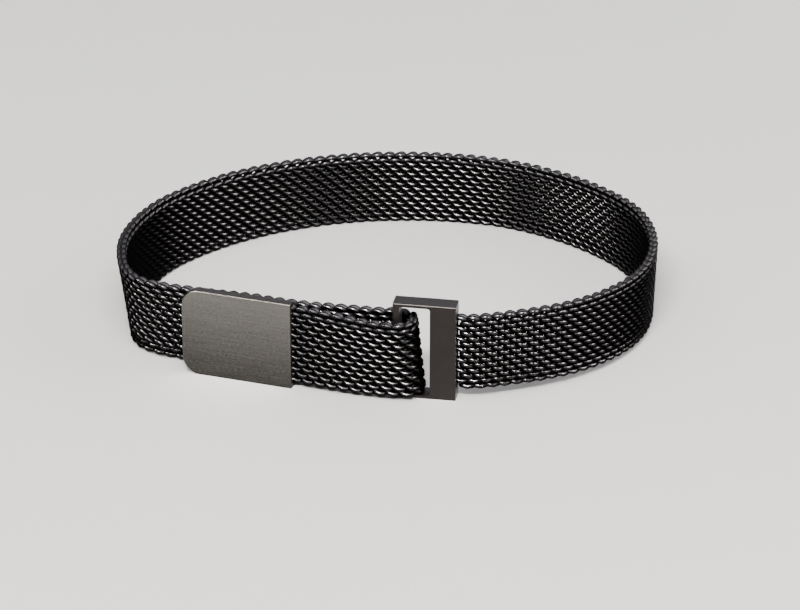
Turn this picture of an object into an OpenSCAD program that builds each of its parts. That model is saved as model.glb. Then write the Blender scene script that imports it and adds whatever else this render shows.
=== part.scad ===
// Bracelet of woven wire mesh with a magnetic clasp, closed, lying on its edge.
// One end of the mesh band is set in the buckle's wide bar. The band goes round the wrist, out through
// the buckle's slot, back over the thin bar, and its other end is set in the clasp.
// Millimetres. +Z is up, the clasp faces -Y, and the origin is the middle of the footprint.

/* [Loop] */
// Width of the loop over the outside of the mesh, left to right
loop_w = 68.7; // [64:0.1:76]
// Depth of the loop over the outside of the mesh, from the buckle to the back
loop_d = 53.2; // [48:0.1:60]

/* [Mesh band] */
// Width of the band, edge to edge
band_w = 10.1; // [9:0.1:10.5]
// Width of the flap at the clasp, where the mesh is spread out flat
flap_w = 10.7; // [9:0.1:10.9]
// Thickness of the band
band_t = 1.3; // [1.1:0.05:1.5]
// How far the band's rounded edges reach across its thickness
band_edge = 0.35; // [0.1:0.05:0.5]

/* [Buckle] */
// Height of the buckle, across the band
buckle_h = 12.8; // [12:0.1:15]
// Depth of the buckle, front to back
buckle_t = 2.4; // [2:0.1:3]
// Width of the bar that the mesh is set in
wide_bar = 3.25; // [2.5:0.05:5]
// Width of the bar that the mesh folds over
thin_bar = 0.8; // [0.6:0.05:1.2]
// Width of the slot between the bars
slot_w = 3.85; // [3.8:0.05:5]
// Height of the rails above and below the slot
rail_h = 0.4; // [0.3:0.05:0.6]
// Radius of the slot's corners
slot_corner = 0.35; // [0.1:0.05:0.6]
// Width of the small chamfer round the buckle's faces
buckle_edge = 0.06; // [0.04:0.01:0.2]
// How far the mesh reaches into the wide bar
bar_seat = 0.6; // [0.4:0.1:1.5]

/* [Clasp] */
// Length of the clasp's face plate
plate_l = 14.5; // [12:0.1:16]
// Height of the face plate
plate_h = 11.6; // [11.4:0.1:13]
// Thickness of the face plate
plate_t = 1.25; // [1:0.05:1.5]
// Radius of the plate's two corners away from the flap
plate_corner = 2.3; // [1:0.1:4]
// Width of the chamfer round the plate's front
plate_edge = 0.06; // [0.04:0.01:0.2]
// Thickness of the magnet housing behind the plate
housing_t = 1.05; // [1:0.05:1.5]
// How far the housing stays inside the plate's outline
housing_inset = 0.6; // [0.3:0.05:0.8]
// How far the mesh's front lies behind the plate's front
recess = 0.55; // [0.4:0.05:0.7]
// How far the mesh reaches into the clasp
clasp_seat = 2.5; // [1.5:0.1:5]
// Length of the flap, from the thin bar to the clasp
flap_l = 12.7; // [9:0.1:20]

/* [Fit] */
// Gap between pieces that are joined
joint_gap = 0.05; // [0.03:0.01:0.08]
// Gap between the fold and the thin bar, and between the clasp and the band behind it
touch_gap = 0.1; // [0.05:0.01:0.2]

/* [Hidden] */

// The loop's middle line, from the buckle's wide bar round to the clasp.
// x and y are shares of half the loop's width and depth, lift is a share of bar_lift,
// lean is in degrees, outward at the top.
//       x       y      lift  lean
bends = [
    [ 0.447, -0.980, 0.90,  0],
    [ 0.709, -0.813, 0.68,  0],
    [ 0.909, -0.524, 0.43,  1],
    [ 0.996, -0.128, 0.20,  2],
    [ 0.942,  0.320, 0.04,  3],
    [ 0.742,  0.664, 0.00,  2],
    [ 0.465,  0.902, 0.00,  0],
    [ 0.074,  1.000, 0.00,  1],
    [-0.318,  0.925, 0.00,  3],
    [-0.664,  0.693, 0.00,  7],
    [-0.914,  0.334, 0.00,  9],
    [-1.003, -0.149, 0.08, 11],
    [-0.946, -0.514, 0.18,  3],
];
// The buckle's left face, at the middle of its depth, as shares of half the loop
buckle_place = [0.013, -0.975];
// Turns about Z of the buckle, the flap and the clasp
buckle_turn = -10;
flap_turn = -17.5;
clasp_turn = -18.9;
// The band behind the clasp: how far along it as a share of the plate's length, the lift as a share
// of bar_lift, how much further back it lies as a share of touch_gap, and the lean in degrees.
//  along lift  back  lean
clasp_back = [
    [0.93, 0.12, 3.0, -2],
    [0.50, 0.46, 1.0,  0],
    [0.07, 0.52, 0.0,  0],
];
// Where the band comes up to the thin bar from behind, and where the flap leaves it again,
// as shares of the thin bar's width
bar_pass = 2.75;
bar_leave = 1.5;
// Where the flap turns to run into the clasp, as a share of its length from the clasp,
// and how much of its rise from the fold to the clasp it has made there
flap_bend = 0.17;
flap_rise = 0.67;
// Lean of the fold's nose: its lower end reaches further through the slot
nose_lean = 6.2;
// How far the middle of the fold lies past the thin bar
nose_past = 0.15;
// One ring of the band's surface for each of these degrees of bend, and at least this many a span
ring_turn = 5;
span_rings = 3;

half_w = (loop_w - band_t) / 2;
half_d = (loop_d - band_t) / 2;
buckle_w = wide_bar + slot_w + thin_bar;
bar_lift = (buckle_h - band_w) / 2;
flap_lift = (plate_h - flap_w) / 2;
fold_lift = rail_h + joint_gap;
fold_r = buckle_t / 2 + touch_gap + band_t / 2;
fold_u = thin_bar + nose_past;
flap_v = recess + band_t / 2;
housing_v = plate_t + joint_gap;
inner_v = housing_v + housing_t + touch_gap + band_t / 2;

function turned(p, a) = [p[0] * cos(a) - p[1] * sin(a), p[0] * sin(a) + p[1] * cos(a)];
function on_loop(share) = [share[0] * half_w, share[1] * half_d];

// Points given along a piece's own length (u) and depth towards the back (v)
function on_buckle(u, v) = on_loop(buckle_place) + turned([u, v], buckle_turn);
clasp_mouth = on_buckle(0, -fold_r) + turned([-flap_l, 0], flap_turn);
clasp_corner = clasp_mouth - turned([0, flap_v], clasp_turn);
function on_clasp(u, v) = clasp_corner + turned([u, v], clasp_turn);

function station(p, lift, lean, width = band_w) = [p[0], p[1], lift, lean, width];

wide_bar_stations = [
    station(on_buckle(buckle_w - bar_seat, 0), bar_lift, 0),
    station(on_buckle(buckle_w + bar_seat, 0), bar_lift, 0),
];
loop_stations = [for (b = bends) station(on_loop(b), b[2] * bar_lift, b[3])];
clasp_back_stations = [for (c = clasp_back)
    station(on_clasp(-c[0] * plate_l, inner_v + c[2] * touch_gap), c[1] * bar_lift, c[3])];
bar_back_station = [station(on_buckle(-bar_pass * thin_bar, fold_r), fold_lift, 0)];
fold_stations = [for (a = [90:-45:-90])
    station(on_buckle(fold_u + fold_r * cos(a), fold_r * sin(a)), fold_lift, nose_lean * cos(a))];
flap_stations = [
    station(on_buckle(-bar_leave * thin_bar, -fold_r), fold_lift, 0),
    station(on_clasp(flap_bend * flap_l, flap_v - touch_gap),
            fold_lift + flap_rise * (flap_lift - fold_lift), 0, flap_w),
    station(on_clasp(joint_gap, flap_v), flap_lift, 0, flap_w),
    station(on_clasp(-clasp_seat, flap_v), flap_lift, 0, flap_w),
];
stations = concat(wide_bar_stations, loop_stations, clasp_back_stations, bar_back_station,
                  fold_stations, flap_stations);

// A smooth curve through the stations: the spans between them and the slope at each
last = len(stations) - 1;
span = [for (i = [0:last - 1]) norm([for (k = [0:1]) stations[i + 1][k] - stations[i][k]])];
function rise(i) = (stations[i + 1] - stations[i]) / span[i];
slope = [for (i = [0:last])
    i == 0 ? rise(0) : i == last ? rise(last - 1)
    : (rise(i - 1) * span[i] + rise(i) * span[i - 1]) / (span[i - 1] + span[i])];
function on_curve(i, t) =
    let (a = stations[i], b = stations[i + 1], s = span[i])
    a * (2 * pow(t, 3) - 3 * pow(t, 2) + 1) + slope[i] * s * (pow(t, 3) - 2 * pow(t, 2) + t)
    + b * (3 * pow(t, 2) - 2 * pow(t, 3)) + slope[i + 1] * s * (pow(t, 3) - pow(t, 2));
function slope_on_curve(i, t) =
    let (a = stations[i], b = stations[i + 1], s = span[i])
    (a * (6 * pow(t, 2) - 6 * t) + slope[i] * s * (3 * pow(t, 2) - 4 * t + 1)
    + b * (6 * t - 6 * pow(t, 2)) + slope[i + 1] * s * (3 * pow(t, 2) - 2 * t)) / s;

function bend_of(i) =
    let (a = slope[i], b = slope[i + 1])
    abs(atan2(a[0] * b[1] - a[1] * b[0], a[0] * b[0] + a[1] * b[1]));
function rings_of(i) = max(span_rings, ceil(bend_of(i) / ring_turn));
curve = [for (i = [0:last - 1]) let (n = rings_of(i)) for (k = [0:i == last - 1 ? n : n - 1])
    [on_curve(i, k / n), slope_on_curve(i, k / n)]];

// The band's section, of some width: across its thickness (first) and its width (second),
// with rounded edges
function corner(a, b, width) = [a * (band_t / 2 - band_edge), b * width / 2];
function cheek(a, b, width) = [a * band_t / 2, b * (width / 2 - band_edge)];
function section(width) = [
    corner(-1, -1, width), corner(1, -1, width), cheek(1, -1, width), cheek(1, 1, width),
    corner(1, 1, width), corner(-1, 1, width), cheek(-1, 1, width), cheek(-1, -1, width)];

// One ring of the band: its lowest corner rests at the curve's lift
function ring(at, along) =
    let (
        d = [along[0], along[1]] / norm([along[0], along[1]]),
        lean = at[3],
        width = at[4],
        out = [d[1] * cos(lean), -d[0] * cos(lean), -sin(lean)],
        up = [d[1] * sin(lean), -d[0] * sin(lean), cos(lean)],
        rest = max(at[2], 0) + width / 2 * cos(lean) + band_t / 2 * abs(sin(lean)),
        mid = [at[0], at[1], rest]
    )
    [for (s = section(width)) mid + out * s[0] + up * s[1]];
rings = [for (c = curve) ring(c[0], c[1])];
band_points = [for (r = rings) for (p = r) p];

// The middle of the footprint, over the band's, the buckle's and the clasp's corners
buckle_corners = [for (u = [0, buckle_w]) for (v = [-1, 1]) on_buckle(u, v * buckle_t / 2)];
clasp_corners = [for (u = [-plate_l, 0]) on_clasp(u, 0)];
function middle(axis) =
    let (all = [for (p = concat(band_points, buckle_corners, clasp_corners)) p[axis]])
    (min(all) + max(all)) / 2;
footprint = [middle(0), middle(1), 0];

module centred() {
    translate(-footprint) children();
}

// Stands an outline drawn in length and height upright, its front at depth v and its back deeper by t
module upright(v, t) {
    translate([0, v + t, 0]) rotate([90, 0, 0]) linear_extrude(t) children();
}

module at_buckle() {
    centred() translate(on_buckle(0, 0)) rotate([0, 0, buckle_turn]) children();
}

module at_clasp() {
    centred() translate(clasp_corner) rotate([0, 0, clasp_turn]) children();
}

// A rectangle from the origin, drawn in by a margin on every side
module inset_rect(w, h, margin) {
    translate([margin, margin]) square([w - 2 * margin, h - 2 * margin]);
}

// A rectangle with round corners of its own radius
module round_rect(w, h, r) {
    union() {
        translate([r, 0]) square([w - 2 * r, h]);
        translate([0, r]) square([w, h - 2 * r]);
        for (x = [r, w - r], y = [r, h - r]) translate([x, y]) circle(r = r, $fn = 32);
    }
}

// The clasp's outline: square where the mesh enters on the right, round on the left
module clasp_outline(margin, right_margin) {
    r = plate_corner - margin;
    union() {
        translate([-plate_l + plate_corner, margin])
            square([plate_l - plate_corner - right_margin, plate_h - 2 * margin]);
        translate([-plate_l + margin, plate_corner])
            square([plate_corner, plate_h - 2 * plate_corner]);
        for (z = [plate_corner, plate_h - plate_corner])
            translate([-plate_l + plate_corner, z]) circle(r = r, $fn = 48);
    }
}

// The space that the mesh's end takes up in the piece that holds it
module mesh_seat(u, length, v, lift, width) {
    translate([u, v - band_t / 2 - joint_gap, lift - joint_gap])
        cube([length, band_t + 2 * joint_gap, width + 2 * joint_gap]);
}

module mesh_band() {
    n = len(rings[0]);
    m = len(rings);
    sides = [for (i = [0:m - 2]) for (k = [0:n - 1])
        [i * n + k, i * n + (k + 1) % n, (i + 1) * n + (k + 1) % n, (i + 1) * n + k]];
    triangles = [for (f = sides) for (t = [[f[0], f[2], f[1]], [f[0], f[3], f[2]]]) t];
    start = [for (k = [0:n - 1]) k];
    end = [for (k = [n - 1:-1:0]) (m - 1) * n + k];
    color([0.1, 0.1, 0.11])
        centred() polyhedron(band_points, concat(triangles, [start, end]));
}

module buckle_frame() {
    color([0.23, 0.21, 0.2]) at_buckle() difference() {
        hull() {
            upright(-buckle_t / 2 + buckle_edge, buckle_t - 2 * buckle_edge)
                square([buckle_w, buckle_h]);
            upright(-buckle_t / 2, buckle_t) inset_rect(buckle_w, buckle_h, buckle_edge);
        }
        upright(-buckle_t, 2 * buckle_t)
            translate([thin_bar, rail_h]) round_rect(slot_w, buckle_h - 2 * rail_h, slot_corner);
        mesh_seat(buckle_w - bar_seat - joint_gap, bar_seat + 2 * joint_gap, 0, bar_lift, band_w);
    }
}

module clasp_plate() {
    color([0.5, 0.49, 0.47]) at_clasp() difference() {
        hull() {
            upright(plate_edge, plate_t - plate_edge) clasp_outline(0, 0);
            upright(0, plate_t) clasp_outline(plate_edge, plate_edge);
        }
        mesh_seat(-clasp_seat - joint_gap, clasp_seat + 2 * joint_gap, flap_v, flap_lift, flap_w);
    }
}

// The mesh's end lies in a notch over the whole height of the housing
module clasp_housing() {
    color([0.14, 0.13, 0.15]) at_clasp() difference() {
        upright(housing_v, housing_t) clasp_outline(housing_inset, 0);
        mesh_seat(-clasp_seat - joint_gap, clasp_seat + 2 * joint_gap, flap_v, 0, plate_h);
    }
}

mesh_band();
buckle_frame();
clasp_plate();
clasp_housing();
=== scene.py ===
# A bracelet of woven wire mesh with a magnetic clasp, closed, lying on its edge on a pale floor.
# Metres, +Z up, the clasp faces -Y. The frame holds the buckle, the clasp and a plain solid for the
# band; this file weaves the band from coils of wire along the same route, and gives the finishes.

import math

import bpy
from bpy.props import (
    FloatProperty,
    FloatVectorProperty,
    IntProperty,
    PointerProperty,
)
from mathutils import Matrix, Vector


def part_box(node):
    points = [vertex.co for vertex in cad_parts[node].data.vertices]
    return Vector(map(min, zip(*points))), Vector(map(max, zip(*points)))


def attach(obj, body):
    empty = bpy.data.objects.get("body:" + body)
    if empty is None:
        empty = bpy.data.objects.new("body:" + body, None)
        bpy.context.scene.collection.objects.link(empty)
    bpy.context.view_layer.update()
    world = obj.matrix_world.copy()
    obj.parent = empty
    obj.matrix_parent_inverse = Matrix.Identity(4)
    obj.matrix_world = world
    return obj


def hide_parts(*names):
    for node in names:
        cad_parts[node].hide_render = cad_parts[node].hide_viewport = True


bl_info = {
    "name": "Mesh Bracelet",
    "version": (1, 0, 0),
    "blender": (4, 5, 0),
    "location": "View3D > Sidebar > Bracelet",
    "description": "Weaves the mesh band of a bracelet and finishes its buckle and clasp",
    "category": "Object",
}

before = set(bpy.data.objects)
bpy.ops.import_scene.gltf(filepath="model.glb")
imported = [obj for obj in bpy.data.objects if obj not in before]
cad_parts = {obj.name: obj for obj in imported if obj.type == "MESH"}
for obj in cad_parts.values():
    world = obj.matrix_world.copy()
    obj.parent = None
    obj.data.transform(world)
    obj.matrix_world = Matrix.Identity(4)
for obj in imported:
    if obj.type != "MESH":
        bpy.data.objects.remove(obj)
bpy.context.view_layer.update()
MM = 0.001
BODY = "root"

# The band's route, with the sizes of the part's source, in millimetres
LOOP_W = 68.7
LOOP_D = 53.2
BAND_W = 10.1
FLAP_W = 10.7
BAND_T = 1.3
BUCKLE_H = 12.8
BUCKLE_T = 2.4
WIDE_BAR = 3.25
THIN_BAR = 0.8
SLOT_W = 3.85
RAIL_H = 0.4
BAR_SEAT = 0.6
PLATE_L = 14.5
PLATE_H = 11.6
PLATE_T = 1.25
HOUSING_T = 1.05
RECESS = 0.55
CLASP_SEAT = 2.5
FLAP_L = 12.7
JOINT_GAP = 0.05
TOUCH_GAP = 0.1

# Shares of half the loop's width and depth, lift as a share of BAR_LIFT, and degrees of lean
BENDS = (
    (0.447, -0.980, 0.90, 0),
    (0.709, -0.813, 0.68, 0),
    (0.909, -0.524, 0.43, 1),
    (0.996, -0.128, 0.20, 2),
    (0.942, 0.320, 0.04, 3),
    (0.742, 0.664, 0.00, 2),
    (0.465, 0.902, 0.00, 0),
    (0.074, 1.000, 0.00, 1),
    (-0.318, 0.925, 0.00, 3),
    (-0.664, 0.693, 0.00, 7),
    (-0.914, 0.334, 0.00, 9),
    (-1.003, -0.149, 0.08, 11),
    (-0.946, -0.514, 0.18, 3),
)
BUCKLE_PLACE = (0.013, -0.975)
BUCKLE_TURN = -10
FLAP_TURN = -17.5
CLASP_TURN = -18.9
# Behind the clasp: shares of PLATE_L, BAR_LIFT and TOUCH_GAP, and degrees of lean
CLASP_BACK = (
    (0.93, 0.12, 3.0, -2),
    (0.50, 0.46, 1.0, 0),
    (0.07, 0.52, 0.0, 0),
)
BAR_PASS = 2.75
BAR_LEAVE = 1.5
FLAP_BEND = 0.17
FLAP_RISE = 0.67
NOSE_LEAN = 6.2
NOSE_PAST = 0.15
FOLD_ANGLES = (90, 45, 0, -45, -90)
# Longest step of the worked-out route, and the fewest steps between two stations
ROUTE_STEP = 0.2
LEAST_STEPS = 4

HALF_W = (LOOP_W - BAND_T) / 2
HALF_D = (LOOP_D - BAND_T) / 2
BUCKLE_W = WIDE_BAR + SLOT_W + THIN_BAR
BAR_LIFT = (BUCKLE_H - BAND_W) / 2
FLAP_LIFT = (PLATE_H - FLAP_W) / 2
FOLD_LIFT = RAIL_H + JOINT_GAP
FOLD_R = BUCKLE_T / 2 + TOUCH_GAP + BAND_T / 2
FOLD_U = THIN_BAR + NOSE_PAST
FLAP_V = RECESS + BAND_T / 2
INNER_V = PLATE_T + JOINT_GAP + HOUSING_T + TOUCH_GAP + BAND_T / 2


def turned(u, v, degrees):
    """A vector of the plan, turned about Z."""
    a = math.radians(degrees)
    return Vector((u * math.cos(a) - v * math.sin(a), u * math.sin(a) + v * math.cos(a)))


def on_loop(share):
    """A point of the plan from shares of half the loop's width and depth."""
    return Vector((share[0] * HALF_W, share[1] * HALF_D))


def on_buckle(u, v):
    """A point of the plan from the buckle's own length and depth."""
    return on_loop(BUCKLE_PLACE) + turned(u, v, BUCKLE_TURN)


def on_clasp(u, v):
    """A point of the plan from the clasp's own length and depth."""
    mouth = on_buckle(0, -FOLD_R) + turned(-FLAP_L, 0, FLAP_TURN)
    return mouth - turned(0, FLAP_V, CLASP_TURN) + turned(u, v, CLASP_TURN)


def stations():
    """The places that the band passes, from the wide bar to the clasp.

    Each is x, y, lift, lean and width.
    """
    found = []

    def station(point, lift, lean, width=BAND_W):
        found.append(Vector((point.x, point.y, lift, lean, width)))

    station(on_buckle(BUCKLE_W - BAR_SEAT, 0), BAR_LIFT, 0)
    station(on_buckle(BUCKLE_W + BAR_SEAT, 0), BAR_LIFT, 0)
    for bend in BENDS:
        station(on_loop(bend), bend[2] * BAR_LIFT, bend[3])
    for along, lift, back, lean in CLASP_BACK:
        station(on_clasp(-along * PLATE_L, INNER_V + back * TOUCH_GAP), lift * BAR_LIFT, lean)
    station(on_buckle(-BAR_PASS * THIN_BAR, FOLD_R), FOLD_LIFT, 0)
    for angle in FOLD_ANGLES:
        side = math.cos(math.radians(angle))
        depth = math.sin(math.radians(angle))
        nose = on_buckle(FOLD_U + FOLD_R * side, FOLD_R * depth)
        station(nose, FOLD_LIFT, NOSE_LEAN * side)
    station(on_buckle(-BAR_LEAVE * THIN_BAR, -FOLD_R), FOLD_LIFT, 0)
    rise = FOLD_LIFT + FLAP_RISE * (FLAP_LIFT - FOLD_LIFT)
    station(on_clasp(FLAP_BEND * FLAP_L, FLAP_V - TOUCH_GAP), rise, 0, FLAP_W)
    station(on_clasp(JOINT_GAP, FLAP_V), FLAP_LIFT, 0, FLAP_W)
    station(on_clasp(-CLASP_SEAT, FLAP_V), FLAP_LIFT, 0, FLAP_W)
    return found


def route_points():
    """The smooth curve through the stations: middle, outward and upward at each point.

    The middles are in the frame, in metres. The upward vector is as much longer than 1 as the band
    is wider there than BAND_W.
    """
    marks = stations()
    spans = [math.dist(a[:2], b[:2]) for a, b in zip(marks, marks[1:])]
    rises = [(b - a) / span for a, b, span in zip(marks, marks[1:], spans)]
    slopes = [rises[0]]
    for i in range(1, len(rises)):
        near, far = spans[i - 1], spans[i]
        slopes.append((rises[i - 1] * far + rises[i] * near) / (near + far))
    slopes.append(rises[-1])
    found = []
    for i, span in enumerate(spans):
        count = max(LEAST_STEPS, math.ceil(span / ROUTE_STEP))
        for k in range(count + (i == len(spans) - 1)):
            t = k / count
            a, b = marks[i], marks[i + 1]
            out_of, into = slopes[i] * span, slopes[i + 1] * span
            at = a * (2 * t**3 - 3 * t**2 + 1) + out_of * (t**3 - 2 * t**2 + t)
            at += b * (3 * t**2 - 2 * t**3) + into * (t**3 - t**2)
            along = a * (6 * t**2 - 6 * t) + out_of * (3 * t**2 - 4 * t + 1)
            along += b * (6 * t - 6 * t**2) + into * (3 * t**2 - 2 * t)
            found.append(route_point(at, Vector(along[:2]).normalized()))
    corners = [m + o * (a * BAND_T / 2) + u * (b * BAND_W / 2)
               for m, o, u in found for a in (-1, 1) for b in (-1, 1)]
    low = Vector([min(c[k] for c in corners) for k in range(3)])
    high = Vector([max(c[k] for c in corners) for k in range(3)])
    node_low, node_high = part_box("mesh_band")
    shift = (node_low + node_high) / 2 - (low + high) / 2 * MM
    return [(m * MM + shift, o, u) for m, o, u in found]


def route_point(at, along):
    """The band's middle, outward and upward, where its lowest corner rests at the lift."""
    lean = math.radians(at[3])
    width = at[4]
    outward = Vector((along.y * math.cos(lean), -along.x * math.cos(lean), -math.sin(lean)))
    upward = Vector((along.y * math.sin(lean), -along.x * math.sin(lean), math.cos(lean)))
    rest = max(at[2], 0) + width / 2 * math.cos(lean) + BAND_T / 2 * abs(math.sin(lean))
    return Vector((at[0], at[1], rest)), outward, upward * (width / BAND_W)


class Value:
    """A socket in a sum: each operator adds its Math node."""

    def __init__(self, nodes, socket):
        self.nodes = nodes
        self.socket = socket

    def math(self, operation, *others):
        sockets = {0: self}
        for place, other in enumerate(others, start=1):
            sockets[place] = other
        return self.nodes.make("ShaderNodeMath", {"operation": operation}, sockets)

    def reflected(self, operation, other):
        return self.nodes.make("ShaderNodeMath", {"operation": operation}, {0: other, 1: self})

    def __add__(self, other):
        return self.math("ADD", other)

    def __radd__(self, other):
        return self.reflected("ADD", other)

    def __sub__(self, other):
        return self.math("SUBTRACT", other)

    def __rsub__(self, other):
        return self.reflected("SUBTRACT", other)

    def __mul__(self, other):
        return self.math("MULTIPLY", other)

    def __truediv__(self, other):
        return self.math("DIVIDE", other)

    def __pow__(self, other):
        return self.math("POWER", other)

    def sin(self):
        return self.math("SINE")

    def cos(self):
        return self.math("COSINE")

    def clamped(self, low, high):
        return self.math("MAXIMUM", low).math("MINIMUM", high)

    def over(self, limit):
        return self.math("GREATER_THAN", limit)


class Nodes:
    """Makes the nodes of one tree, each from its type, its settings and its sockets."""

    def __init__(self, tree):
        self.tree = tree

    def make(self, kind, settings=None, sockets=None, output=0):
        node = self.tree.nodes.new(kind)
        for name, value in (settings or {}).items():
            setattr(node, name, value)
        for name, value in (sockets or {}).items():
            self.set(node.inputs[name], value)
        if not len(node.outputs):
            return None
        return Value(self, node.outputs[output])

    def set(self, socket, value):
        """Links a value into a socket, or sets the socket's own number, colour or vector."""
        if isinstance(value, Value):
            self.tree.links.new(value.socket, socket)
        else:
            socket.default_value = value

    def output_of(self, value, name):
        """Another output of the node that a value comes from."""
        return Value(self, value.socket.node.outputs[name])


def new_material(name):
    """An empty material and its nodes."""
    material = bpy.data.materials.new(name)
    material.use_nodes = True
    material.node_tree.nodes.clear()
    return material, Nodes(material.node_tree)


def object_place(nodes, turn=0.0, scale=(1, 1, 1)):
    """Object coordinates in metres, turned about Z and stretched."""
    place = nodes.make("ShaderNodeTexCoord", output="Object")
    return nodes.make(
        "ShaderNodeMapping",
        {"vector_type": "TEXTURE"},
        {"Vector": place, "Rotation": (0, 0, turn), "Scale": scale},
    )


def noise(nodes, place, scale, detail=3.0, roughness=0.55):
    """Soft noise from 0 to 1 at a place."""
    return nodes.make(
        "ShaderNodeTexNoise",
        None,
        {"Vector": place, "Scale": scale, "Detail": detail, "Roughness": roughness},
        output="Fac",
    )


def blend(nodes, share, low, high):
    """A colour between two, by a share."""
    return nodes.make(
        "ShaderNodeMix",
        {"data_type": "RGBA"},
        {"Factor": share, 6: low, 7: high},
        output=2,
    )


def relief(nodes, height, strength, depth):
    """The direction of a surface that has a fine relief."""
    return nodes.make(
        "ShaderNodeBump", None, {"Strength": strength, "Distance": depth, "Height": height}
    )


def surface(nodes, sockets):
    """One plain shader, joined to the material's output."""
    shader = nodes.make("ShaderNodeBsdfPrincipled", None, sockets)
    nodes.make("ShaderNodeOutputMaterial", None, {"Surface": shader})


# How much rougher the wire is inside the weave and at the band's edges, and varies by grain
WIRE_INSIDE_DULL = 0.25
WIRE_EDGE_DULL = 0.2
WIRE_VARIES = 0.1
# How much the roughness of the satin metal and of the brushed plate varies
SATIN_VARIES = 0.2
BRUSHED_VARIES = 0.25
# Strength and depth of each fine relief
WIRE_RELIEF = (0.05, 0.02 * MM)
SATIN_RELIEF = (0.15, 0.03 * MM)
BRUSHED_RELIEF = (0.35, 0.02 * MM)
# Shares of short and of long strokes in the plate's colour, and how many times longer the long are
SHORT_STROKES = 0.7
LONG_STROKES = 0.3
LONG_STRETCH = 10
# Share of the plate's height at which its painted reflection, paler towards the top, adds nothing
PLATE_MIDDLE = 0.6
FLOOR_ROUGHNESS = 0.7


def wire_material(finish):
    """Black plated wire: glossy on its crowns, blacker inside the weave and dull at the edges.

    The crowns' lighter colour is a painted highlight, the near black inside the weave is painted
    shade, and the edges' dull purple-grey is a painted sheen of the light from above.
    """
    material, nodes = new_material("black_wire")
    place = object_place(nodes)
    patch = noise(nodes, place, finish.wire_patch)
    fine = noise(nodes, place, finish.wire_grain, detail=2.0)
    polish = nodes.make("ShaderNodeAttribute", {"attribute_name": "polish"}, output="Fac")
    crown = blend(nodes, patch, tuple(finish.wire_dark), tuple(finish.wire_pale))
    edge = nodes.make("ShaderNodeAttribute", {"attribute_name": "edge"}, output="Fac")
    # Painted highlight and painted shade: the wire's colour on the crowns' middles, near black
    # elsewhere
    colour = blend(nodes, polish, tuple(finish.wire_inside_shade), crown)
    # Painted sheen: a dull purple-grey on the turns along the band's edges
    colour = blend(nodes, edge, colour, tuple(finish.wire_edge_sheen))
    rough = finish.wire_roughness + (1 - polish) * WIRE_INSIDE_DULL + edge * WIRE_EDGE_DULL
    rough = rough + (fine - 0.5) * WIRE_VARIES
    surface(nodes, {
        "Base Color": colour,
        "Metallic": 1.0,
        "Roughness": rough,
        "Normal": relief(nodes, fine, *WIRE_RELIEF),
        "Specular Tint": tuple(finish.wire_rim),
    })
    return material


def dark_metal_material(finish, name, turn):
    """Satin dark plated steel with a faint grain."""
    material, nodes = new_material(name)
    place = object_place(nodes, turn)
    grain = noise(nodes, place, finish.satin_grain, detail=4.0, roughness=0.7)
    patch = noise(nodes, place, finish.satin_patch)
    colour = blend(nodes, patch, tuple(finish.satin_dark), tuple(finish.satin_pale))
    surface(nodes, {
        "Base Color": colour,
        "Metallic": 1.0,
        "Roughness": finish.satin_roughness + (grain - 0.5) * SATIN_VARIES,
        "Normal": relief(nodes, grain, *SATIN_RELIEF),
    })
    return material


def brushed_material(finish, turn, front):
    """Steel brushed along the band on its front face, and dark plated on its back and edges.

    The front face is painted paler towards its top, a painted reflection. The value `front` is
    where the front face lies in the clasp's depth.
    """
    material, nodes = new_material("brushed_plate")
    stretch = (finish.brush_length, finish.brush_length, finish.brush_width)
    strokes = noise(nodes, object_place(nodes, turn, stretch), 1.0, detail=4.0, roughness=0.65)
    long_length = finish.brush_length * LONG_STRETCH
    long_stretch = (long_length, long_length, finish.brush_width)
    long_strokes = noise(nodes, object_place(nodes, turn, long_stretch), 1.0)
    place = nodes.make("ShaderNodeTexCoord", output="Object")
    height = nodes.make("ShaderNodeSeparateXYZ", None, {0: place}, output="Z") / (PLATE_H * MM)
    share = strokes * SHORT_STROKES + long_strokes * LONG_STROKES
    # Painted reflection: the front face is paler towards its top
    share = share + (height - PLATE_MIDDLE) * finish.brushed_painted_reflection
    brushed = blend(nodes, share, tuple(finish.brushed_dark), tuple(finish.brushed_pale))
    across = turned(0, 1, CLASP_TURN)
    depth = nodes.make(
        "ShaderNodeVectorMath",
        {"operation": "DOT_PRODUCT"},
        {0: place, 1: (across.x, across.y, 0)},
        output="Value",
    )
    edge = ((depth - front) / finish.brushed_depth).clamped(0, 1)
    colour = blend(nodes, edge, brushed, tuple(finish.satin_pale))
    surface(nodes, {
        "Base Color": colour,
        "Metallic": 1.0,
        "Roughness": finish.brushed_roughness + (strokes - 0.5) * BRUSHED_VARIES,
        "Normal": relief(nodes, strokes, *BRUSHED_RELIEF),
    })
    return material


def floor_material(stage):
    """A plain pale matt floor."""
    material, nodes = new_material("pale_floor")
    surface(nodes, {"Base Color": tuple(stage.floor_colour), "Roughness": FLOOR_ROUGHNESS})
    return material


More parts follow.
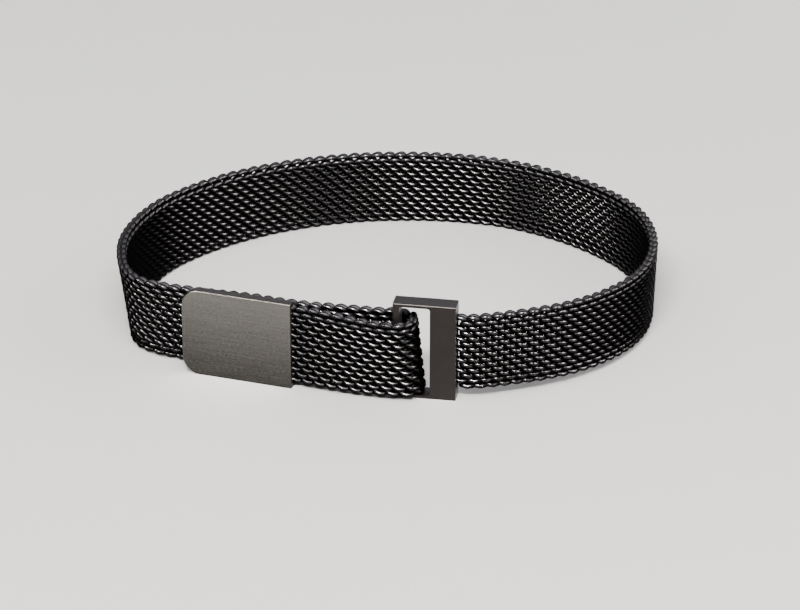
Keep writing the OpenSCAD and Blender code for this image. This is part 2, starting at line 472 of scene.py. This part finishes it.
class WeaveSettings(bpy.types.PropertyGroup):
    """Sizes of the woven wire."""

    wire: FloatProperty(
        name="Wire", description="Height of the wire's section", default=0.62 * MM, unit="LENGTH"
    )
    wire_depth: FloatProperty(
        name="Wire depth", description="Size of the wire's section through the band",
        default=0.66 * MM, unit="LENGTH",
    )
    coil_width: FloatProperty(
        name="Coil width",
        description="Width of a coil along the band, between the wire's middle lines",
        default=1.48 * MM,
        unit="LENGTH",
    )
    spacing: FloatProperty(
        name="Spacing",
        description="Distance between one coil and the next along the band",
        default=0.787 * MM,
        unit="LENGTH",
    )
    tuck: FloatProperty(
        name="Tuck",
        description="How far the wire's end is tucked back into the weave",
        default=0.38 * MM,
        unit="LENGTH",
    )
    arch: FloatProperty(
        name="Arch",
        description="How far the last turn arches at the band's upper edge",
        default=0.42 * MM,
        unit="LENGTH",
    )
    lean: FloatProperty(
        name="Lean", description="Share of a pitch that a crown is shifted by", default=0.22,
        subtype="FACTOR",
    )
    slant: FloatProperty(
        name="Slant", description="Share of a pitch that a coil's left side is higher by",
        default=0.035, subtype="FACTOR",
    )
    rows: IntProperty(
        name="Rows", description="Turns of a coil, each a row on both faces", default=7
    )
    unevenness: FloatProperty(
        name="Unevenness",
        description="How far a coil may lie off its place",
        default=0.02 * MM,
        unit="LENGTH",
    )
    points: IntProperty(name="Points", description="Points in one turn of a coil", default=24)
    sides: IntProperty(name="Sides", description="Sides of the wire", default=8)
    stretches: IntProperty(
        name="Stretches", description="Pieces that the weave is divided into", default=5
    )
    seed: IntProperty(name="Seed", description="Seed of the unevenness", default=4)


class FinishSettings(bpy.types.PropertyGroup):
    """Colours and textures of the metals."""

    wire_dark: FloatVectorProperty(
        name="Wire", description="Darker colour of the wire", subtype="COLOR", size=4,
        default=(0.009, 0.0085, 0.009, 1),
    )
    wire_pale: FloatVectorProperty(
        name="Worn wire", description="Paler colour of the wire", subtype="COLOR", size=4,
        default=(0.015, 0.014, 0.0148, 1),
    )
    # Painted shade: the near black of the wire inside the weave
    wire_inside_shade: FloatVectorProperty(
        name="Wire inside", description="Colour of the wire inside the weave", subtype="COLOR",
        size=4, default=(0.001, 0.001, 0.001, 1),
    )
    wire_rim: FloatVectorProperty(
        name="Wire rim", description="Tint of the wire where it is seen at a low angle",
        subtype="COLOR", size=4, default=(0.2, 0.2, 0.2, 1),
    )
    # Painted sheen: the dull purple-grey of the light from above on the edge turns
    wire_edge_sheen: FloatVectorProperty(
        name="Wire edge", description="Colour of the wire at the band's edges", subtype="COLOR",
        size=4, default=(0.0034, 0.0033, 0.0037, 1),
    )
    wire_roughness: FloatProperty(
        name="Wire roughness", description="Roughness of the wire", default=0.15, subtype="FACTOR"
    )
    wire_patch: FloatProperty(
        name="Wire patches", description="Patches of colour in a metre", default=600
    )
    wire_grain: FloatProperty(
        name="Wire grain", description="Grains of the plating in a metre", default=9000
    )
    satin_dark: FloatVectorProperty(
        name="Satin metal", description="Darker colour of the buckle", subtype="COLOR", size=4,
        default=(0.0082, 0.0071, 0.0069, 1),
    )
    satin_pale: FloatVectorProperty(
        name="Worn satin metal", description="Paler colour of the buckle", subtype="COLOR", size=4,
        default=(0.0118, 0.0104, 0.0101, 1),
    )
    satin_roughness: FloatProperty(
        name="Satin roughness", description="Roughness of the buckle", default=0.38,
        subtype="FACTOR",
    )
    satin_patch: FloatProperty(
        name="Satin patches", description="Patches of colour in a metre", default=250
    )
    satin_grain: FloatProperty(
        name="Satin grain", description="Grains of the satin in a metre", default=12000
    )
    brushed_dark: FloatVectorProperty(
        name="Brushed steel", description="Darker colour of the plate", subtype="COLOR", size=4,
        default=(0.006, 0.0055, 0.005, 1),
    )
    brushed_pale: FloatVectorProperty(
        name="Pale brushed steel", description="Paler colour of the plate", subtype="COLOR",
        size=4, default=(0.069, 0.0668, 0.0618, 1),
    )
    # Painted reflection: how much paler the plate's front is painted at its top
    brushed_painted_reflection: FloatProperty(
        name="Brushed rise", description="How much paler the plate is at its top", default=0.6
    )
    brushed_roughness: FloatProperty(
        name="Brushed roughness", description="Roughness of the plate", default=0.38,
        subtype="FACTOR",
    )
    brushed_depth: FloatProperty(
        name="Brushed depth", description="How far the brushing reaches round the plate's edge",
        default=0.02 * MM, unit="LENGTH",
    )
    brush_length: FloatProperty(
        name="Stroke length", description="Length of a brush stroke", default=0.4 * MM,
        unit="LENGTH",
    )
    brush_width: FloatProperty(
        name="Stroke width", description="Width of a brush stroke", default=0.2 * MM,
        unit="LENGTH",
    )


class StageSettings(bpy.types.PropertyGroup):
    """Camera, lights and floor."""

    lens: FloatProperty(
        name="Lens", description="Focal length in millimetres on a 36 mm sensor", default=168
    )
    elevation: FloatProperty(
        name="Elevation", description="Angle of the camera above the floor",
        default=math.radians(26), subtype="ANGLE",
    )
    distance: FloatProperty(
        name="Distance", description="From the camera to the point it looks at",
        default=487 * MM, unit="LENGTH",
    )
    target: FloatVectorProperty(
        name="Target", description="The point on the floor that the camera looks at",
        default=(1.6 * MM, 0.07 * MM, 0), unit="LENGTH",
    )
    floor_size: FloatProperty(
        name="Floor size", description="Side of the floor", default=3.0, unit="LENGTH"
    )
    floor_colour: FloatVectorProperty(
        name="Floor", description="Colour of the floor", subtype="COLOR", size=4,
        default=(0.66, 0.65, 0.635, 1),
    )
    sky: FloatVectorProperty(
        name="Sky", description="Colour of the soft light all round", subtype="COLOR", size=4,
        default=(0.9, 0.93, 1.0, 1),
    )
    sky_strength: FloatProperty(
        name="Sky strength", description="Strength of the light all round", default=0.22
    )
    key_power: FloatProperty(
        name="Key power", description="Watts of the main light", default=9.0
    )
    gleam_power: FloatProperty(
        name="Gleam power", description="Watts of the light that only glossy metal shows",
        default=98.0,
    )
    left_gleam_power: FloatProperty(
        name="Left gleam power", description="Watts of the gleam on the left", default=65.0
    )
    right_gleam_power: FloatProperty(
        name="Right gleam power", description="Watts of the gleam on the right front", default=160.0
    )
    side_gleam_power: FloatProperty(
        name="Side gleam power", description="Watts of the gleam from the right", default=150.0
    )
    back_gleam_power: FloatProperty(
        name="Back gleam power", description="Watts of the gleam from behind", default=1.6
    )
    overhead_power: FloatProperty(
        name="Overhead power", description="Watts of the light overhead", default=3.0
    )


def route_object():
    """The band's middle line as a chain of edges that carries its outward and upward directions."""
    points = route_points()
    mesh = bpy.data.meshes.new("band_route")
    middles = [middle for middle, _, _ in points]
    mesh.from_pydata(middles, [(i, i + 1) for i in range(len(points) - 1)], [])
    for name, which in (("outward", 1), ("upward", 2)):
        attribute = mesh.attributes.new(name, "FLOAT_VECTOR", "POINT")
        for item, point in zip(attribute.data, points):
            item.vector = point[which]
    length = sum((b - a).length for a, b in zip(middles, middles[1:]))
    route = bpy.data.objects.new("band_route", mesh)
    bpy.context.scene.collection.objects.link(route)
    return route, length


# Turns at each end of a coil that lie level along the band's edge
LEVEL_TURNS = 0.25
# Turns from a coil's second last crown to its end
LAST_TURNS = 0.75
# Power of the cosine that shapes the arch: the higher it is, the nearer to its ends it falls
ARCH_POWER = 4
# How the polishing and painted highlight rise towards the top of a crown, over the wire's depth
POLISH_HIGHLIGHT_SLOPE = 5
POLISH_HIGHLIGHT_START = 0.9
# How it falls off from the middle of a crown, along the coil's width
POLISH_HIGHLIGHT_TOP = 1.5
POLISH_HIGHLIGHT_FALL = 6.5
# Painted highlight: on the outer face the mark is moved to where the lights strike the crowns
# What the outer face has more of the first and less of the second, and how far it is off the middle
OUTER_TOP = 0.3
OUTER_FALL = 2
OUTER_SHIFT = 0.15
WEAVE_SIZES = ("Wire", "Wire Depth", "Coil Width", "Coil Depth", "Pitch", "Spacing", "Start",
               "Tuck", "Arch", "Lean", "Slant", "Unevenness")
WEAVE_COUNTS = ("Rows", "Points", "Sides", "First Coil", "Coils", "Seed")


def weave_tree():
    """Geometry Nodes that make flat coils of wire across the band and bend them along its route."""
    tree = bpy.data.node_groups.new("wire_weave", "GeometryNodeTree")
    face = tree.interface
    face.new_socket("Route", in_out="INPUT", socket_type="NodeSocketObject")
    for name in WEAVE_SIZES:
        face.new_socket(name, in_out="INPUT", socket_type="NodeSocketFloat")
    for name in WEAVE_COUNTS:
        face.new_socket(name, in_out="INPUT", socket_type="NodeSocketInt")
    face.new_socket("Material", in_out="INPUT", socket_type="NodeSocketMaterial")
    face.new_socket("Geometry", in_out="OUTPUT", socket_type="NodeSocketGeometry")
    nodes = Nodes(tree)
    inputs = nodes.make("NodeGroupInput", output="Route")
    given = {item.name: nodes.output_of(inputs, item.name)
             for item in face.items_tree if item.in_out == "INPUT"}
    coil = coil_geometry(nodes, given)
    row = coil_row(nodes, given, coil)
    band = bent_along(nodes, given, row)
    smooth = nodes.make("GeometryNodeSetShadeSmooth", None, {"Geometry": band})
    done = nodes.make(
        "GeometryNodeSetMaterial", None, {"Geometry": smooth, "Material": given["Material"]}
    )
    nodes.make("NodeGroupOutput", None, {"Geometry": done})
    return tree


def coil_geometry(nodes, given):
    """One coil: an oval helix up the band's width that levels out at each edge.

    The lean shifts its outer crowns up and its inner ones down, which closes the weave when it is
    seen from above. The slant shifts its left side up and its right side down. Both ends are
    tucked back into the weave, and the last turn arches at the band's upper edge.
    """
    turns = given["Rows"]
    count = given["Points"] * turns + 1
    line = nodes.make("GeometryNodeMeshLine", None, {"Count": count})
    turn = nodes.make("GeometryNodeInputIndex") / given["Points"]
    angle = turn * math.tau
    climb = turn.clamped(LEVEL_TURNS, turns - LEVEL_TURNS) - turns / 2
    low_end = (1 - turn / LEVEL_TURNS).clamped(0, 1)
    high_end = ((turn - turns) / LEVEL_TURNS + 1).clamped(0, 1)
    x = angle.cos() * (given["Coil Width"] / 2)
    across = angle.sin()
    half_depth = given["Coil Depth"] / 2
    y = across * half_depth
    climb = climb + across * given["Lean"] - angle.cos() * given["Slant"]
    z = climb * given["Pitch"] + (low_end - high_end) * given["Tuck"]
    z = z - angle.cos() ** ARCH_POWER * turn.over(turns - LAST_TURNS) * given["Arch"]
    place = nodes.make("ShaderNodeCombineXYZ", None, {"X": x, "Y": y, "Z": z})
    bent = nodes.make("GeometryNodeSetPosition", None, {"Geometry": line, "Position": place})
    path = nodes.make("GeometryNodeMeshToCurve", None, {"Mesh": bent})
    path = nodes.make("GeometryNodeSetCurveNormal", {"mode": "Z_UP"}, {"Curve": path})
    ring = nodes.make(
        "GeometryNodeCurvePrimitiveCircle", None, {"Resolution": given["Sides"], "Radius": 0.5}
    )
    section = nodes.make(
        "ShaderNodeCombineXYZ", None, {"X": given["Wire Depth"], "Y": given["Wire"], "Z": 1.0}
    )
    oval = nodes.make("GeometryNodeTransform", None, {"Geometry": ring, "Scale": section})
    coil = nodes.make(
        "GeometryNodeCurveToMesh",
        None,
        {"Curve": path, "Profile Curve": oval, "Fill Caps": True},
    )
    return mark_polish_and_painted_light(nodes, given, coil, half_depth)


def mark_polish_and_painted_light(nodes, given, coil, half_depth):
    """Marks where the wire is glossy and where it lies along the band's edges.

    It is glossy in the middle of its crowns, moved on the outer face towards where the lights
    strike; its lighter colour there is a painted highlight, and the near black elsewhere is painted
    shade. The edge's mark, a painted dull purple-grey sheen, is on the rest of the turns that lie
    along the band's upper and lower edges.
    """
    place = nodes.make("GeometryNodeInputPosition")
    parts = nodes.make("ShaderNodeSeparateXYZ", None, {0: place}, output="Y")
    depth = parts.math("ABSOLUTE")
    # Painted highlight: the wire keeps its lighter, glossier colour only where this mask is high
    crown = (depth - half_depth) / given["Wire Depth"] * POLISH_HIGHLIGHT_SLOPE - POLISH_HIGHLIGHT_START
    outer = parts.over(0.0)
    along = nodes.output_of(parts, "X") / given["Coil Width"] + outer * OUTER_SHIFT
    fall = along.math("ABSOLUTE") * (POLISH_HIGHLIGHT_FALL - outer * OUTER_FALL)
    crown = crown.clamped(0, 1) * (POLISH_HIGHLIGHT_TOP + outer * OUTER_TOP - fall).clamped(0, 1)
    height = nodes.output_of(parts, "Z").math("ABSOLUTE")
    # Painted sheen: the edge mark, on the edge turns outside the crowns' middles
    edge = height.over((given["Rows"] - 1) * given["Pitch"] / 2) * (1 - crown)
    for name, value in (("polish", crown), ("edge", edge)):
        coil = nodes.make(
            "GeometryNodeStoreNamedAttribute",
            {"data_type": "FLOAT", "domain": "POINT"},
            {"Geometry": coil, "Name": name, "Value": value},
        )
    return coil


def coil_row(nodes, given, coil):
    """The coils side by side, every second one half a pitch lower."""
    count = given["Coils"]
    line = nodes.make("GeometryNodeMeshLine", None, {"Count": count})
    number = nodes.make("GeometryNodeInputIndex") + given["First Coil"]
    odd = number.math("MODULO", 2)
    off = []
    for step in (0, 1):
        shift = nodes.make(
            "FunctionNodeRandomValue",
            {"data_type": "FLOAT"},
            {2: -1.0, 3: 1.0, "ID": number, "Seed": given["Seed"] + step},
            output=1,
        )
        off.append(shift * given["Unevenness"])
    x = given["Start"] + number * given["Spacing"] + off[0]
    z = (0.5 - odd) * given["Pitch"] / 2 + off[1]
    place = nodes.make("ShaderNodeCombineXYZ", None, {"X": x, "Y": 0.0, "Z": z})
    points = nodes.make("GeometryNodeSetPosition", None, {"Geometry": line, "Position": place})
    copies = nodes.make(
        "GeometryNodeInstanceOnPoints", None, {"Points": points, "Instance": coil}
    )
    return nodes.make("GeometryNodeRealizeInstances", None, {"Geometry": copies})


def bent_along(nodes, given, row):
    """Bends the flat band along the route: X along it, Y outward and Z upward."""
    info = nodes.make("GeometryNodeObjectInfo", None, {"Object": given["Route"]}, output="Geometry")
    curve = nodes.make("GeometryNodeMeshToCurve", None, {"Mesh": info})
    flat = nodes.make("GeometryNodeInputPosition")
    parts = nodes.make("ShaderNodeSeparateXYZ", None, {0: flat}, output="X")
    axes = {"Y": "outward", "Z": "upward"}
    place = None
    for axis, name in axes.items():
        way = nodes.make(
            "GeometryNodeInputNamedAttribute", {"data_type": "FLOAT_VECTOR"}, {"Name": name}
        )
        sample = nodes.make(
            "GeometryNodeSampleCurve",
            {"data_type": "FLOAT_VECTOR", "mode": "LENGTH", "use_all_curves": True},
            {"Curves": curve, "Value": way, "Length": parts},
            output="Value",
        )
        if place is None:
            place = nodes.output_of(sample, "Position")
        reach = nodes.make(
            "ShaderNodeVectorMath",
            {"operation": "SCALE"},
            {0: sample, "Scale": nodes.output_of(parts, axis)},
        )
        place = nodes.make("ShaderNodeVectorMath", {"operation": "ADD"}, {0: place, 1: reach})
    return nodes.make("GeometryNodeSetPosition", None, {"Geometry": row, "Position": place})


def weave_stretch(tree, name, values):
    """One stretch of the weave as a plain mesh."""
    holder = bpy.data.objects.new(name, bpy.data.meshes.new(name + "_holder"))
    bpy.context.scene.collection.objects.link(holder)
    modifier = holder.modifiers.new("weave", "NODES")
    modifier.node_group = tree
    for item in tree.interface.items_tree:
        if item.in_out == "INPUT":
            modifier[item.identifier] = values[item.name]
    bpy.context.view_layer.update()
    graph = bpy.context.evaluated_depsgraph_get()
    mesh = bpy.data.meshes.new_from_object(holder.evaluated_get(graph), depsgraph=graph)
    mesh.name = name
    holder.modifiers.remove(modifier)
    holder.data = mesh
    return holder


class BRACELET_OT_weave_band(bpy.types.Operator):
    """Weaves the mesh band from coils of wire and puts it in place of the band's solid"""

    bl_idname = "bracelet.weave_band"
    bl_label = "Weave Band"

    def execute(self, context):
        weave = context.scene.bracelet_weave
        material = wire_material(context.scene.bracelet_finish)
        route, length = route_object()
        start = (weave.coil_width + weave.wire_depth) / 2
        coils = 2 * round((length - 2 * start) / weave.spacing / 2)
        spacing = (length - 2 * start) / (coils - 1)
        climbs = weave.rows + 0.5 - 2 * (LEVEL_TURNS + weave.lean)
        pitch = (BAND_W * MM - weave.wire) / climbs
        values = {
            "Route": route,
            "Wire": weave.wire,
            "Wire Depth": weave.wire_depth,
            "Coil Width": weave.coil_width,
            "Coil Depth": BAND_T * MM - weave.wire_depth,
            "Pitch": pitch,
            "Spacing": spacing,
            "Start": start,
            "Tuck": weave.tuck,
            "Arch": weave.arch,
            "Lean": weave.lean,
            "Slant": weave.slant,
            "Unevenness": weave.unevenness,
            "Rows": weave.rows,
            "Points": weave.points,
            "Sides": weave.sides,
            "Seed": weave.seed,
            "Material": material,
        }
        tree = weave_tree()
        for stretch in range(weave.stretches):
            first = round(coils * stretch / weave.stretches)
            after = round(coils * (stretch + 1) / weave.stretches)
            values["First Coil"] = first
            values["Coils"] = after - first
            piece = weave_stretch(tree, f"weave_{stretch + 1}", values)
            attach(piece, BODY)
            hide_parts("mesh_band")
        bpy.data.objects.remove(route)
        return {"FINISHED"}


def assign(node, material):
    """Gives a CAD node one material."""
    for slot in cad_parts[node].material_slots:
        slot.material = material


class BRACELET_OT_finish_buckle(bpy.types.Operator):
    """Gives the buckle its satin dark metal"""

    bl_idname = "bracelet.finish_buckle"
    bl_label = "Finish Buckle"

    def execute(self, context):
        finish = context.scene.bracelet_finish
        assign("buckle_frame", dark_metal_material(finish, "dark_metal", math.radians(BUCKLE_TURN)))
        return {"FINISHED"}


class BRACELET_OT_finish_clasp(bpy.types.Operator):
    """Gives the clasp its brushed plate and its dark magnet housing"""

    bl_idname = "bracelet.finish_clasp"
    bl_label = "Finish Clasp"

    def execute(self, context):
        finish = context.scene.bracelet_finish
        turn = math.radians(CLASP_TURN)
        across = turned(0, 1, CLASP_TURN).to_3d()
        front = min(across.dot(v.co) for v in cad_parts["clasp_plate"].data.vertices)
        assign("clasp_plate", brushed_material(finish, turn, front))
        assign("clasp_housing", dark_metal_material(finish, "magnet_housing", turn))
        return {"FINISHED"}


WARM = (1.0, 0.98, 0.95)
WHITE = (1.0, 1.0, 1.0)
STRAW = (1.0, 0.97, 0.93)
VIOLET = (0.95, 0.92, 1.0)
# Name, azimuth and elevation in degrees, distance and size in metres, colour, and whether it
# shows only in reflections. Azimuth 0 is behind the camera and + is to the right.
LIGHTS = (
    ("key", -15, 48, 0.8, (0.3, 0.2), WARM, False),
    ("gleam", -6, 48, 0.8, (0.22, 0.06), STRAW, True),
    ("left_gleam", -75, 48, 0.8, (0.3, 0.08), STRAW, True),
    ("right_gleam", 16, 48, 0.8, (0.24, 0.06), STRAW, True),
    ("side_gleam", 95, 35, 0.9, (1.2, 0.3), STRAW, True),
    ("back_gleam", 180, 30, 1.0, (1.0, 0.3), VIOLET, True),
    ("overhead", 20, 80, 0.9, (0.5, 0.5), WHITE, False),
)
SENSOR_WIDTH = 36


def add_light(name, azimuth, elevation, distance, size, colour, power):
    """An area light that looks at the bracelet."""
    light = bpy.data.lights.new(name, "AREA")
    light.shape = "RECTANGLE"
    light.size, light.size_y = size
    light.energy = power
    light.color = colour
    holder = bpy.data.objects.new(name, light)
    a, e = math.radians(azimuth), math.radians(elevation)
    way = Vector((math.sin(a) * math.cos(e), -math.cos(a) * math.cos(e), math.sin(e)))
    holder.location = way * distance
    holder.rotation_euler = way.to_track_quat("Z", "Y").to_euler()
    bpy.context.scene.collection.objects.link(holder)
    return holder


class BRACELET_OT_set_stage(bpy.types.Operator):
    """Lays the floor, lights the scene and sets the camera"""

    bl_idname = "bracelet.set_stage"
    bl_label = "Set Stage"

    def execute(self, context):
        stage = context.scene.bracelet_stage
        self.lay_floor(stage)
        self.light(context, stage)
        self.set_camera(context, stage)
        return {"FINISHED"}

    def lay_floor(self, stage):
        half = stage.floor_size / 2
        mesh = bpy.data.meshes.new("floor")
        mesh.from_pydata(
            [(-half, -half, 0), (half, -half, 0), (half, half, 0), (-half, half, 0)],
            [],
            [(0, 1, 2, 3)],
        )
        mesh.materials.append(floor_material(stage))
        floor = bpy.data.objects.new("floor", mesh)
        bpy.context.scene.collection.objects.link(floor)

    def light(self, context, stage):
        world = bpy.data.worlds.new("soft_sky")
        context.scene.world = world
        world.use_nodes = True
        background = world.node_tree.nodes["Background"]
        background.inputs["Color"].default_value = tuple(stage.sky)
        background.inputs["Strength"].default_value = stage.sky_strength
        for name, azimuth, elevation, distance, size, colour, glossy_only in LIGHTS:
            power = getattr(stage, name + "_power")
            lamp = add_light(name, azimuth, elevation, distance, size, colour, power)
            lamp.visible_diffuse = not glossy_only

    def set_camera(self, context, stage):
        data = bpy.data.cameras.new("camera")
        data.lens = stage.lens
        data.sensor_width = SENSOR_WIDTH
        camera = bpy.data.objects.new("camera", data)
        e = stage.elevation
        back = Vector((0, -math.cos(e), math.sin(e)))
        camera.location = Vector(stage.target) + back * stage.distance
        camera.rotation_euler = (math.pi / 2 - e, 0, 0)
        context.scene.collection.objects.link(camera)
        context.scene.camera = camera


class BRACELET_PT_panel(bpy.types.Panel):
    """Lists the bracelet's pieces in the sidebar"""

    bl_idname = "BRACELET_PT_panel"
    bl_label = "Mesh Bracelet"
    bl_space_type = "VIEW_3D"
    bl_region_type = "UI"
    bl_category = "Bracelet"

    def draw(self, context):
        for operator in OPERATORS:
            self.layout.operator(operator.bl_idname)


GROUPS = {
    "bracelet_weave": WeaveSettings,
    "bracelet_finish": FinishSettings,
    "bracelet_stage": StageSettings,
}
OPERATORS = (
    BRACELET_OT_weave_band,
    BRACELET_OT_finish_buckle,
    BRACELET_OT_finish_clasp,
    BRACELET_OT_set_stage,
)


def register():
    for group in GROUPS.values():
        bpy.utils.register_class(group)
    for name, group in GROUPS.items():
        setattr(bpy.types.Scene, name, PointerProperty(type=group))
    for cls in (*OPERATORS, BRACELET_PT_panel):
        bpy.utils.register_class(cls)


def unregister():
    for cls in reversed((*OPERATORS, BRACELET_PT_panel)):
        bpy.utils.unregister_class(cls)
    for name in GROUPS:
        delattr(bpy.types.Scene, name)
    for group in reversed(GROUPS.values()):
        bpy.utils.unregister_class(group)


def main():
    register()
    bpy.ops.bracelet.weave_band()
    bpy.ops.bracelet.finish_buckle()
    bpy.ops.bracelet.finish_clasp()
    bpy.ops.bracelet.set_stage()


if __name__ == "__main__":
    main()
